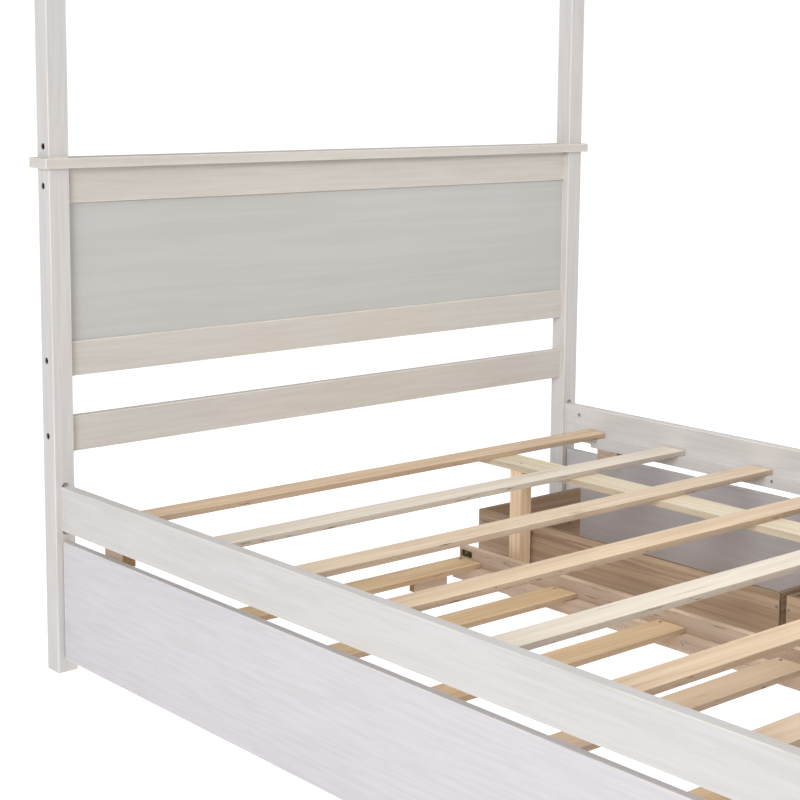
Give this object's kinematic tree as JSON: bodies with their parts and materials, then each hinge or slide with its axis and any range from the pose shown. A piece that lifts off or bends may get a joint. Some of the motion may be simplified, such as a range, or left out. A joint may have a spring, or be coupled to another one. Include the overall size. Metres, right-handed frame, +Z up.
{
  "type": "trundle bed",
  "caption": "Canopy bed with square posts, recessed headboard panel, slatted base, a rolling trundle under one side and rolling drawers under the other.",
  "frame": {"origin": "on the floor, in the middle of the rectangle the bed stands on", "axes": "+Z up, +Y towards the headboard, +X towards the drawer side, -X towards the trundle side"},
  "size_m": [1.658, 2.165, 1.96],
  "materials": {
    "white_wash": "brushed white wash, satin",
    "grey_panel": "grey wash, matt",
    "raw_pine": "raw, sanded",
    "brown_ply": "brown veneer, matt",
    "zinc_steel": "zinc plated",
    "wheel_black": "moulded, matt"
  },
  "bodies": {
    "bed_frame": {"head_post_left": "white_wash", "head_post_right": "white_wash", "foot_post_left": "white_wash", "foot_post_right": "white_wash", "head_upper_post_left": "white_wash", "head_upper_post_right": "white_wash", "foot_upper_post_left": "white_wash", "foot_upper_post_right": "white_wash", "headboard_cap": "white_wash", "headboard_top_rail": "white_wash", "headboard_bottom_rail": "white_wash", "headboard_slat": "white_wash", "footboard_cap": "white_wash", "footboard_rail": "white_wash", "foot_rail": "white_wash", "side_rail_left": "white_wash", "side_rail_right": "white_wash", "canopy_rail_left": "white_wash", "canopy_rail_right": "white_wash", "canopy_cross_rails": "white_wash", "slat_cleats": "white_wash", "headboard_panel": "grey_panel", "bed_slats": "raw_pine", "centre_beam": "raw_pine", "centre_legs": "raw_pine", "front_stops": "raw_pine", "frame_bolts": "zinc_steel", "barrel_nuts": "zinc_steel", "post_studs": "zinc_steel", "support_screws": "zinc_steel"},
    "trundle": {"trundle_front": "white_wash", "trundle_back_rail": "raw_pine", "trundle_cleats": "raw_pine", "trundle_slats": "raw_pine", "trundle_blocks": "raw_pine", "trundle_catches": "zinc_steel", "trundle_screws": "zinc_steel", "trundle_caster_forks": "zinc_steel"},
    "trundle_wheels_near": {"trundle_wheels_front": "wheel_black"},
    "trundle_wheels_far": {"trundle_wheels_back": "wheel_black"},
    "drawer_head": {"drawer_head_front": "white_wash", "drawer_head_back": "brown_ply", "drawer_head_side_foot": "brown_ply", "drawer_head_side_head": "brown_ply", "drawer_head_bottom": "brown_ply", "drawer_head_cams": "zinc_steel", "drawer_head_screws": "zinc_steel", "drawer_head_caster_forks": "zinc_steel"},
    "drawer_head_wheels_near": {"drawer_head_wheels_front": "wheel_black"},
    "drawer_head_wheels_far": {"drawer_head_wheels_back": "wheel_black"},
    "drawer_foot": {"drawer_foot_front": "white_wash", "drawer_foot_back": "brown_ply", "drawer_foot_side_foot": "brown_ply", "drawer_foot_side_head": "brown_ply", "drawer_foot_bottom": "brown_ply", "drawer_foot_cams": "zinc_steel", "drawer_foot_screws": "zinc_steel", "drawer_foot_caster_forks": "zinc_steel"},
    "drawer_foot_wheels_near": {"drawer_foot_wheels_front": "wheel_black"},
    "drawer_foot_wheels_far": {"drawer_foot_wheels_back": "wheel_black"}
  },
  "joints": [
    {"name": "trundle_slide", "type": "slide", "parent": "bed_frame", "child": "trundle", "axis": [-1, 0, 0], "range_m": [0, 1.1]},
    {"name": "trundle_near_roll", "type": "hinge", "parent": "trundle", "child": "trundle_wheels_near", "pos_m": [-0.6375, 0, 0.02], "axis": [0, 1, 0], "continuous": true},
    {"name": "trundle_far_roll", "type": "hinge", "parent": "trundle", "child": "trundle_wheels_far", "pos_m": [0.168, 0, 0.02], "axis": [0, 1, 0], "continuous": true},
    {"name": "drawer_head_slide", "type": "slide", "parent": "bed_frame", "child": "drawer_head", "axis": [1, 0, 0], "range_m": [0, 0.4]},
    {"name": "drawer_head_near_roll", "type": "hinge", "parent": "drawer_head", "child": "drawer_head_wheels_near", "pos_m": [0.735, 0, 0.015], "axis": [0, 1, 0], "continuous": true},
    {"name": "drawer_head_far_roll", "type": "hinge", "parent": "drawer_head", "child": "drawer_head_wheels_far", "pos_m": [0.455, 0, 0.015], "axis": [0, 1, 0], "continuous": true},
    {"name": "drawer_foot_slide", "type": "slide", "parent": "bed_frame", "child": "drawer_foot", "axis": [1, 0, 0], "range_m": [0, 0.4]},
    {"name": "drawer_foot_near_roll", "type": "hinge", "parent": "drawer_foot", "child": "drawer_foot_wheels_near", "pos_m": [0.735, 0, 0.015], "axis": [0, 1, 0], "continuous": true},
    {"name": "drawer_foot_far_roll", "type": "hinge", "parent": "drawer_foot", "child": "drawer_foot_wheels_far", "pos_m": [0.455, 0, 0.015], "axis": [0, 1, 0], "continuous": true}
  ],
  "couplings": [
    {"joint": "trundle_near_roll", "follows": "trundle_slide", "rad_per_m": -50},
    {"joint": "trundle_far_roll", "follows": "trundle_slide", "rad_per_m": -50},
    {"joint": "drawer_head_near_roll", "follows": "drawer_head_slide", "rad_per_m": 66.667},
    {"joint": "drawer_head_far_roll", "follows": "drawer_head_slide", "rad_per_m": 66.667},
    {"joint": "drawer_foot_near_roll", "follows": "drawer_foot_slide", "rad_per_m": 66.667},
    {"joint": "drawer_foot_far_roll", "follows": "drawer_foot_slide", "rad_per_m": 66.667}
  ]
}
